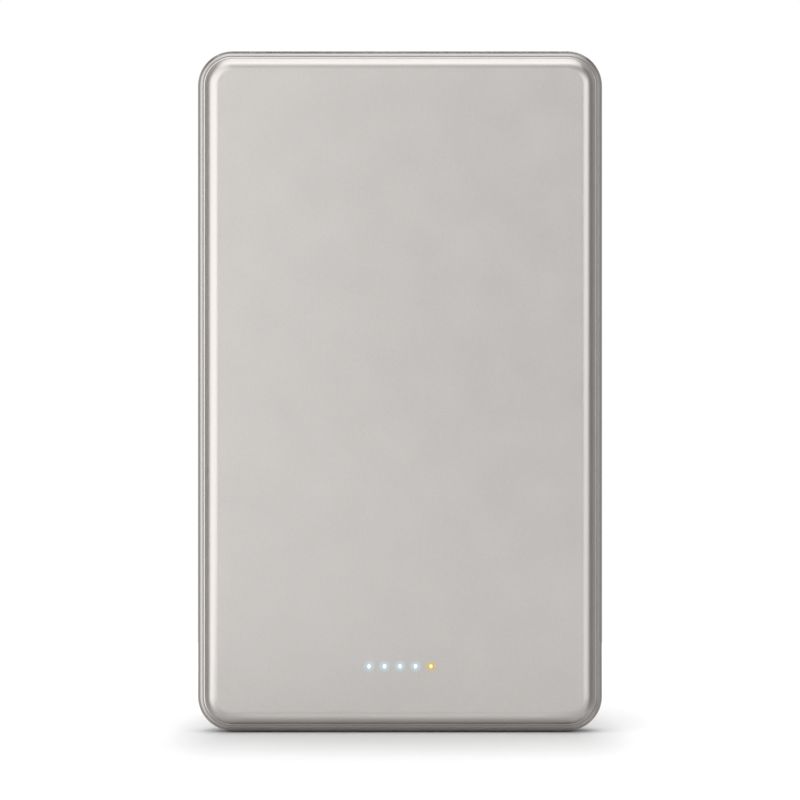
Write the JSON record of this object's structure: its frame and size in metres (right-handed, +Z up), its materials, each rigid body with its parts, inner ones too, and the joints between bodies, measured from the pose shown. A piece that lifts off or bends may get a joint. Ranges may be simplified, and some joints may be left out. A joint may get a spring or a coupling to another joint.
{
  "type": "power bank",
  "caption": "Slim upright power bank: rounded metal covers on a middle frame, a row of charge lights low on the face, USB-A and USB-C sockets in the top end and a flush side button.",
  "frame": {"origin": "middle of the bottom end, on the surface that the power bank stands on", "axes": "+Z up the long side, -Y out of the front face with the lights, +X to the right seen from the front"},
  "size_m": [0.0655, 0.011, 0.11],
  "materials": {
    "anodised_cover": "satin",
    "anodised_frame": "satin",
    "anodised_button": "satin",
    "seal_rubber": "matte",
    "tray_plastic": "matte",
    "film_tape": "matte",
    "pouch_foil": "satin",
    "pad_foam": "matte",
    "nickel_strip": "satin",
    "board_laminate": "satin",
    "lead_red": "satin",
    "lead_black": "satin",
    "ferrite": "matte",
    "chip_resin": "matte",
    "capacitor_body": "matte",
    "silicone_pad": "matte",
    "screw_steel": "satin",
    "shell_nickel": "polished",
    "tongue_black": "satin",
    "contact_gold": "polished",
    "led_white": "gloss",
    "led_amber": "gloss",
    "guide_clear": "gloss",
    "shield_black": "matte",
    "flex_film": "satin",
    "connector_ivory": "satin",
    "stiffener_steel": "satin"
  },
  "bodies": {
    "case": {"mid_frame": "anodised_frame", "front_cover": "anodised_cover", "back_cover": "anodised_cover", "front_seal": "seal_rubber", "back_seal": "seal_rubber", "inner_tray": "tray_plastic", "tray_tape": "film_tape", "battery_cell": "pouch_foil", "cell_foam": "pad_foam", "cell_tape": "film_tape", "cell_tabs": "nickel_strip", "protection_board": "board_laminate", "positive_lead": "lead_red", "negative_lead": "lead_black", "main_board": "board_laminate", "power_inductor": "ferrite", "power_chips": "chip_resin", "output_capacitors": "capacitor_body", "thermal_pad": "silicone_pad", "board_screws": "screw_steel", "usb_a_shell": "shell_nickel", "usb_a_tongue": "tongue_black", "usb_a_contacts": "contact_gold", "usb_c_shell": "shell_nickel", "usb_c_tongue": "tongue_black", "usb_c_contacts": "contact_gold", "led_board": "board_laminate", "white_leds": "led_white", "amber_led": "led_amber", "light_shield": "shield_black", "light_guide": "guide_clear", "side_flex": "flex_film", "flex_connectors": "connector_ivory", "switch_stiffener": "stiffener_steel", "switch_body": "tongue_black"},
    "button": {"power_button": "anodised_button", "switch_plunger": "connector_ivory"}
  },
  "joints": [
    {"name": "button_press", "type": "slide", "parent": "case", "child": "button", "axis": [1, 0, 0], "range_m": [0, 0.00025], "stiffness_N_per_m": 5000, "springref_m": -0.0001}
  ]
}
